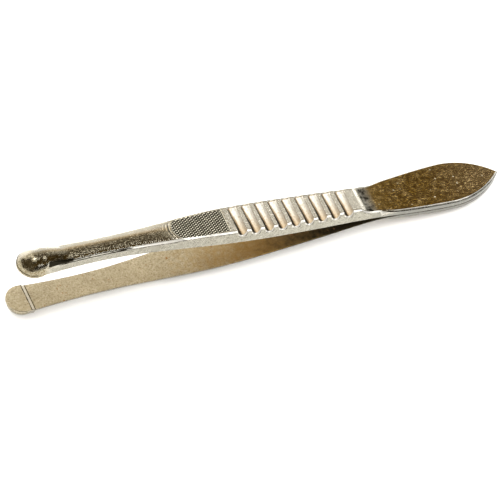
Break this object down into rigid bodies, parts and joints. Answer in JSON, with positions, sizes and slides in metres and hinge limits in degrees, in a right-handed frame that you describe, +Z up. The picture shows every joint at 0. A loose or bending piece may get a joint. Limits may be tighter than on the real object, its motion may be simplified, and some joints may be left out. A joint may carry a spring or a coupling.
{
  "type": "round-jawed tweezers",
  "caption": "Ball-ended tweezers: sprung steel halves joined at a leaf-shaped tail, with a fluted grip, a knurled thumb patch and round flat-padded jaws.",
  "frame": {"origin": "bottom centre of the tweezers' box as they lie on a table, on the lower grip and the tail's point", "axes": "+X from the jaws to the tail's point, +Y across the arms, +Z up; the halves' mid-plane leans 4.17 degrees down towards the tail"},
  "size_m": [0.0902, 0.0084, 0.015],
  "materials": {
    "plated_steel": "polished nickel plate over forged steel, warm and lightly scratched",
    "spring_strap": "polished nickel plate over thin spring steel",
    "braze": "dull brazing metal, plated over"
  },
  "bodies": {
    "tail": {"upper_tail_leaf": "plated_steel", "lower_tail_leaf": "plated_steel", "tail_braze": "braze", "upper_spring_strap": "spring_strap", "lower_spring_strap": "spring_strap"},
    "upper_arm": {"upper_arm": "plated_steel"},
    "lower_arm": {"lower_arm": "plated_steel"}
  },
  "joints": [
    {"name": "upper_arm_flex", "type": "hinge", "parent": "tail", "child": "upper_arm", "pos_m": [0.023, 0, 0.0035], "axis": [0, -1, 0], "range_deg": [0, 3.94], "stiffness_Nm_per_rad": 1, "deforming": ["upper_spring_strap"]},
    {"name": "lower_arm_flex", "type": "hinge", "parent": "tail", "child": "lower_arm", "pos_m": [0.02289, 0, 0.00207], "axis": [0, 1, 0], "range_deg": [0, 3.94], "stiffness_Nm_per_rad": 1, "deforming": ["lower_spring_strap"]}
  ]
}
